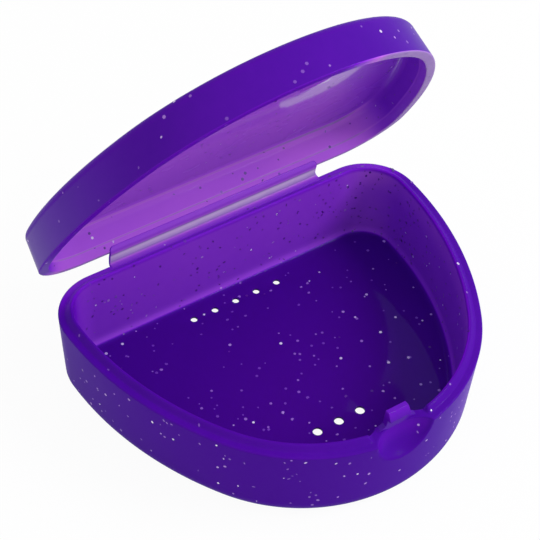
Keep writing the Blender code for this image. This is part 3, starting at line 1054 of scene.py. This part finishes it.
class CASE_OT_make_strap(bpy.types.Operator):
    """Builds the hinge strap: one thin web from the tray's rim round to a flange on the lid's rim."""

    bl_idname = "retainer_case.make_strap"
    bl_label = "Make hinge strap"

    def execute(self, context):
        sizes, tray, lid = context.scene.case_strap, context.scene.case_tray, context.scene.case_lid
        back, rim = tray.depth / 2, tray.height
        half_thick = sizes.thickness / 2
        web = [
            (-0.90, 0.01),
            (-0.10, 0.01),
            (0.42, 0.13),
            (0.74, 0.50),
            (0.86, 1.05),
            (0.80, 1.70),
            (0.69, 2.30),
            (0.56, 2.85),
        ]
        path = [(0.0, back + y * MM, rim - half_thick + z * MM) for y, z in web]
        sunk = half_thick - sizes.proud
        over = opened([(0.0, back - lid.rim + 0.0001, rim + lid.gap + sunk)])
        slope = Vector((0, -lid.lead_in, lid.lead_in_height)).normalized()
        into = Vector((0, slope.z, -slope.y)) * -sunk
        mouth = Vector((0, back - lid.rim, rim + lid.gap))
        shut = [mouth + slope * (reach * MM) - into for reach in (0.45, 1.0)]
        path += [tuple(place) for place in over] + [tuple(place) for place in opened(shut)]
        spine, walked = smooth_path(path, 64)
        ahead = np.gradient(spine, axis=0)
        ahead /= np.linalg.norm(ahead, axis=1)[:, None]
        up = np.stack([np.zeros(len(spine)), -ahead[:, 2], ahead[:, 1]], 1)
        left_over = walked[-1] - walked
        corner = sizes.corner
        bite = np.where(
            left_over < corner, corner - np.sqrt(np.maximum(corner**2 - (corner - left_over) ** 2, 0)), 0
        )
        half = sizes.width / 2 + sizes.flare * (1 - smoothstep(walked, 0.0008, 0.0024)) - bite
        end_round = np.sqrt(np.maximum(1 - (1 - left_over / half_thick) ** 2, 0.02))
        thick = half_thick * np.where(left_over < half_thick, end_round, 1)
        shell = Shell()
        rings = []
        across = np.linspace(-1, 1, 42)
        turns = np.linspace(math.pi / 2, -math.pi / 2, 7)[1:-1]
        for i, place in enumerate(spine):
            flat = half[i] - thick[i]
            loop = [(u * flat, thick[i]) for u in across]
            loop += [(flat + thick[i] * math.cos(t), thick[i] * math.sin(t)) for t in turns]
            loop += [(-u * flat, -thick[i]) for u in across]
            loop += [(-flat - thick[i] * math.cos(t), -thick[i] * math.sin(t)) for t in turns]
            ring = np.array([place + np.array([x, 0, 0]) + up[i] * h for x, h in loop])
            # Painted highlight on the bend, and painted shade on the strap's side edges.
            tone = np.full(len(ring), strap_painted_light(walked[i] / walked[-1]))
            tone[np.abs(ring[:, 0]) > flat + 0.3 * thick[i]] = STRAP_EDGE_SHADE
            rings.append(shell.ring(ring, tone, 0.25))
        for lower, upper in zip(rings, rings[1:]):
            shell.bridge(lower, upper)
        shell.faces.append(tuple(rings[0]))
        shell.faces.append(tuple(reversed(rings[-1])))
        strap = shell.build("hinge_strap", plastics()["strap_violet"])
        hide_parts("strap_tray_leaf", "strap_lid_leaf")
        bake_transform(strap)
        return {"FINISHED"}


# Painted shade along the strap's side edges.
STRAP_EDGE_SHADE = 0.42


def strap_painted_light(share_up):
    """Palest on the bend, as a painted highlight, and darker on the flange."""
    stops = (
        (0.0, 0.60),
        (0.15, 0.70),
        (0.24, 0.87),
        (0.33, 0.94),
        (0.47, 0.985),
        (0.52, 1.0),
        (0.57, 1.0),
        (0.65, 0.95),
        (0.70, 0.86),
        (0.79, 0.69),
        (1.0, 0.665),
    )
    return float(np.interp(share_up, [s for s, _ in stops], [t for _, t in stops]))


# Glitter


def flake_tree():
    """Scatters thin six-sided flakes over a shell, round on level faces and narrower on walls."""
    tree = bpy.data.node_groups.new("glitter_scatter", "GeometryNodeTree")
    sockets = {}
    wanted = (
        ("Geometry", "NodeSocketGeometry"),
        ("Light Flakes", "NodeSocketFloat"),
        ("Dark Flakes", "NodeSocketFloat"),
        ("Flake Size", "NodeSocketFloat"),
        ("Flake Thickness", "NodeSocketFloat"),
        ("Seed", "NodeSocketInt"),
        ("Material", "NodeSocketMaterial"),
    )
    for label, kind in wanted:
        sockets[label] = tree.interface.new_socket(label, in_out="INPUT", socket_type=kind).identifier
    tree.interface.new_socket("Geometry", in_out="OUTPUT", socket_type="NodeSocketGeometry")
    start, end = tree.nodes.new("NodeGroupInput"), tree.nodes.new("NodeGroupOutput")
    link = tree.links.new
    join = tree.nodes.new("GeometryNodeJoinGeometry")

    def random_value(low, high, seed):
        node = tree.nodes.new("FunctionNodeRandomValue")
        node.data_type = "FLOAT"
        sockets_in = [s for s in node.inputs if s.enabled]
        sockets_in[0].default_value, sockets_in[1].default_value = low, high
        node.inputs["Seed"].default_value = seed
        return next(s for s in node.outputs if s.enabled)

    def named_value(name):
        node = tree.nodes.new("GeometryNodeInputNamedAttribute")
        node.data_type = "FLOAT"
        node.inputs["Name"].default_value = name
        return node.outputs["Attribute"]

    for number, (label, mask, low, high) in enumerate(
        (("Light Flakes", "light_share", 0.30, 1.0), ("Dark Flakes", "dark_share", 0.0, 0.22))
    ):
        density = math_node(tree, "MULTIPLY", start.outputs[label], named_value(mask))
        scatter = tree.nodes.new("GeometryNodeDistributePointsOnFaces")
        scatter.distribute_method = "RANDOM"
        link(start.outputs["Geometry"], scatter.inputs["Mesh"])
        link(density, scatter.inputs["Density"])
        link(math_node(tree, "ADD", start.outputs["Seed"], 31 * number), scatter.inputs["Seed"])
        shine = tree.nodes.new("GeometryNodeStoreNamedAttribute")
        shine.data_type = "FLOAT"
        shine.domain = "POINT"
        shine.inputs["Name"].default_value = "shine"
        link(scatter.outputs["Points"], shine.inputs["Geometry"])
        rarity = 1.0 if mask == "dark_share" else named_value("rarity")
        fainter = math_node(tree, "POWER", random_value(0.0, 1.0, 3 + number), rarity)
        brightness = math_node(tree, "MULTIPLY_ADD", fainter, high - low)
        brightness.node.inputs[2].default_value = low
        link(brightness, shine.inputs["Value"])
        split = tree.nodes.new("ShaderNodeSeparateXYZ")
        link(scatter.outputs["Normal"], split.inputs[0])
        steep = math_node(tree, "ABSOLUTE", split.outputs["Z"], 0.0)
        level = math_node(tree, "GREATER_THAN", steep, 0.7)
        aspect = math_node(tree, "MAXIMUM", level, random_value(0.35, 1.0, 11 + number))
        size = random_value(0.45, 1.0, 17 + number)
        scale = tree.nodes.new("ShaderNodeCombineXYZ")
        link(size, scale.inputs["X"])
        link(math_node(tree, "MULTIPLY", size, aspect), scale.inputs["Y"])
        scale.inputs["Z"].default_value = 1
        turn = tree.nodes.new("FunctionNodeAxisAngleToRotation")
        turn.inputs["Axis"].default_value = (0, 0, 1)
        link(random_value(0.0, 6.283, 23 + number), turn.inputs["Angle"])
        local = tree.nodes.new("FunctionNodeRotateRotation")
        local.rotation_space = "LOCAL"
        link(scatter.outputs["Rotation"], local.inputs["Rotation"])
        link(turn.outputs["Rotation"], local.inputs["Rotate By"])
        flake = tree.nodes.new("GeometryNodeMeshCylinder")
        flake.inputs["Vertices"].default_value = 6
        link(math_node(tree, "MULTIPLY", start.outputs["Flake Size"], 0.5), flake.inputs["Radius"])
        link(start.outputs["Flake Thickness"], flake.inputs["Depth"])
        place = tree.nodes.new("GeometryNodeInstanceOnPoints")
        link(shine.outputs["Geometry"], place.inputs["Points"])
        link(flake.outputs["Mesh"], place.inputs["Instance"])
        link(local.outputs["Rotation"], place.inputs["Rotation"])
        link(scale.outputs[0], place.inputs["Scale"])
        link(place.outputs["Instances"], join.inputs[0])
    real = tree.nodes.new("GeometryNodeRealizeInstances")
    link(join.outputs[0], real.inputs[0])
    coat = tree.nodes.new("GeometryNodeSetMaterial")
    link(real.outputs[0], coat.inputs["Geometry"])
    link(start.outputs["Material"], coat.inputs["Material"])
    link(coat.outputs[0], end.inputs[0])
    return tree, sockets


class CASE_OT_make_glitter(bpy.types.Operator):
    """Scatters the flakes over the tray and the lid, one mesh for each body."""

    bl_idname = "retainer_case.make_glitter"
    bl_label = "Make glitter"

    def execute(self, context):
        look = context.scene.case_glitter
        tree, sockets = flake_tree()
        for number, (shell_name, body, slot) in enumerate(
            (("tray_shell", "tray", "tray_plastic"), ("lid_shell", "lid", "lid_plastic"))
        ):
            source = bpy.data.objects[shell_name]
            flakes = bpy.data.objects.new(f"{body}_glitter", source.data.copy())
            context.scene.collection.objects.link(flakes)
            flake_shares(flakes.data, body)
            modifier = flakes.modifiers.new("Glitter", "NODES")
            modifier.node_group = tree
            modifier[sockets["Light Flakes"]] = look.light_count
            modifier[sockets["Dark Flakes"]] = look.dark_count
            modifier[sockets["Flake Size"]] = look.size
            modifier[sockets["Flake Thickness"]] = look.thickness
            modifier[sockets["Seed"]] = look.seed + 100 * number
            modifier[sockets["Material"]] = plastics()["glitter_flakes"]
            settle(flakes)
            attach(flakes, body)
        return {"FINISHED"}


def flake_shares(mesh, body):
    """Where flakes show: the light ones all over, the dark ones where light comes through the wall.

    The higher the rarity, the fewer of the light flakes are bright.
    """
    count = len(mesh.vertices)
    tones = np.zeros(count, np.float32)
    mesh.attributes["tone"].data.foreach_get("value", tones)
    places = np.zeros(count * 3, np.float32)
    mesh.vertices.foreach_get("co", places)
    x, y, z = places.reshape(-1, 3).T
    light = np.where(tones > 0.6, 0.5, 1.0)
    dark = np.where(tones > 0.46, 1.0, 0.05)
    rarity = np.full(count, 4.0)
    if body == "lid":
        light, dark = light * 0.45, dark * 0.45
    else:
        tray = bpy.context.scene.case_tray
        low, rim = z < tray.foot_round / 2, z > tray.height - 2 * tray.rim_edge
        scoop_end = tray.scoop_depth - tray.depth / 2 + MM
        scoop = (np.abs(x) < tray.scoop_width / 2) & (y < scoop_end) & (z > tray.floor)
        light = np.where(scoop | rim, 0.25, light)
        under = low & (np.abs(z - tray.floor) > MM / 10)
        light, dark = np.where(under, 0, light), np.where(under, 0, dark)
        dark = dark * (1 + 2 * smoothstep(x, 0.008, 0.028) * smoothstep(y, 0.005, 0.022))
        walls = (y < 0) & (tones < 0.42) & (z > tray.floor + MM)
        rarity = np.where(walls, 1.8, rarity)
    store(mesh, light_share=light, dark_share=dark, rarity=rarity)


# Stage

FLOOR_DROP = 0.0002  # from the tray's underside down to the floor


def emission_floor():
    """White floor that keeps the object's soft shadow."""
    material = bpy.data.materials.new("white_floor")
    material.use_nodes = True
    tree = material.node_tree
    tree.nodes.clear()
    paint = tree.nodes.new("ShaderNodeBsdfDiffuse")
    paint.inputs["Color"].default_value = (0.9, 0.9, 0.9, 1)
    white = tree.nodes.new("ShaderNodeEmission")
    mix = tree.nodes.new("ShaderNodeMixShader")
    tree.links.new(math_node(tree, "MULTIPLY", seen_directly(tree), 0.95), mix.inputs["Fac"])
    tree.links.new(paint.outputs[0], mix.inputs[1])
    tree.links.new(white.outputs[0], mix.inputs[2])
    out = tree.nodes.new("ShaderNodeOutputMaterial")
    tree.links.new(mix.outputs[0], out.inputs["Surface"])
    return material


class CASE_OT_make_stage(bpy.types.Operator):
    """Builds the camera, the white floor and the soft light."""

    bl_idname = "retainer_case.make_stage"
    bl_label = "Make stage"

    def execute(self, context):
        look, scene = context.scene.case_stage, context.scene
        a, e, r = look.azimuth, look.elevation, look.roll
        back = Vector((math.sin(a) * math.cos(e), -math.cos(a) * math.cos(e), math.sin(e)))
        level = Vector((0, 0, 1)).cross(back).normalized()
        rise = back.cross(level)
        right = level * math.cos(r) + rise * math.sin(r)
        up = rise * math.cos(r) - level * math.sin(r)
        aim = Vector((0, 0, 0.025)) + right * -0.007383 + up * 0.0053005
        data = bpy.data.cameras.new("camera")
        data.sensor_width, data.lens = 36.0, look.lens
        data.clip_start, data.clip_end = 0.01, 20.0
        camera = bpy.data.objects.new("camera", data)
        camera.matrix_world = Matrix.Translation(aim + back * look.distance) @ Matrix(
            (right, up, back)
        ).transposed().to_4x4()
        scene.collection.objects.link(camera)
        scene.camera = camera

        form = bmesh.new()
        bmesh.ops.create_grid(form, x_segments=1, y_segments=1, size=3.0)
        floor = piece_from(form, "floor", emission_floor())
        floor.data.transform(Matrix.Translation((0, 0, -FLOOR_DROP)))

        world = bpy.data.worlds.new("soft_light")
        world.use_nodes = True
        tree = world.node_tree
        sky = tree.nodes["Background"]
        sky.inputs["Color"].default_value = (1, 1, 1, 1)
        strength = math_node(tree, "MULTIPLY_ADD", seen_directly(tree), 1.0 - look.light)
        strength.node.inputs[2].default_value = look.light
        tree.links.new(strength, sky.inputs["Strength"])
        scene.world = world

        lamp_data = bpy.data.lights.new("soft_lamp", "AREA")
        lamp_data.shape = "DISK"
        lamp_data.size = 0.35
        lamp_data.energy = look.lamp
        lamp = bpy.data.objects.new("soft_lamp", lamp_data)
        lamp.location = (0.40, -0.30, 0.48)
        lamp.rotation_euler = (Vector((0, 0, 0.02)) - lamp.location).to_track_quat("-Z", "Y").to_euler()
        scene.collection.objects.link(lamp)

        scene.view_settings.view_transform = "Standard"
        return {"FINISHED"}


# Panel and registration


class CASE_PT_panel(bpy.types.Panel):
    """The case's steps and its main sizes."""

    bl_label = "Retainer case"
    bl_idname = "CASE_PT_panel"
    bl_space_type = "VIEW_3D"
    bl_region_type = "UI"
    bl_category = "Retainer case"

    def draw(self, context):
        for step in STEPS:
            self.layout.operator(f"retainer_case.{step}")
        for label, group in GROUPS.items():
            box = self.layout.box()
            settings = getattr(context.scene, label)
            for name in group.__annotations__:
                box.prop(settings, name)


GROUPS = {
    "case_tray": TraySizes,
    "case_lid": LidSizes,
    "case_strap": StrapSizes,
    "case_latch": LatchSizes,
    "case_glitter": GlitterLook,
    "case_plastic": PlasticLook,
    "case_stage": StageLook,
}
OPERATORS = (
    CASE_OT_make_tray,
    CASE_OT_make_latch,
    CASE_OT_make_lid,
    CASE_OT_make_catch,
    CASE_OT_make_strap,
    CASE_OT_make_glitter,
    CASE_OT_make_stage,
)
STEPS = [operator.bl_idname.split(".")[1] for operator in OPERATORS]


def register():
    for item in (*GROUPS.values(), *OPERATORS, CASE_PT_panel):
        bpy.utils.register_class(item)
    for label, group in GROUPS.items():
        setattr(bpy.types.Scene, label, PointerProperty(type=group))


def unregister():
    for label in GROUPS:
        delattr(bpy.types.Scene, label)
    for item in reversed((*GROUPS.values(), *OPERATORS, CASE_PT_panel)):
        bpy.utils.unregister_class(item)


def main():
    register()
    for step in STEPS:
        getattr(bpy.ops.retainer_case, step)()


if __name__ == "__main__":
    main()
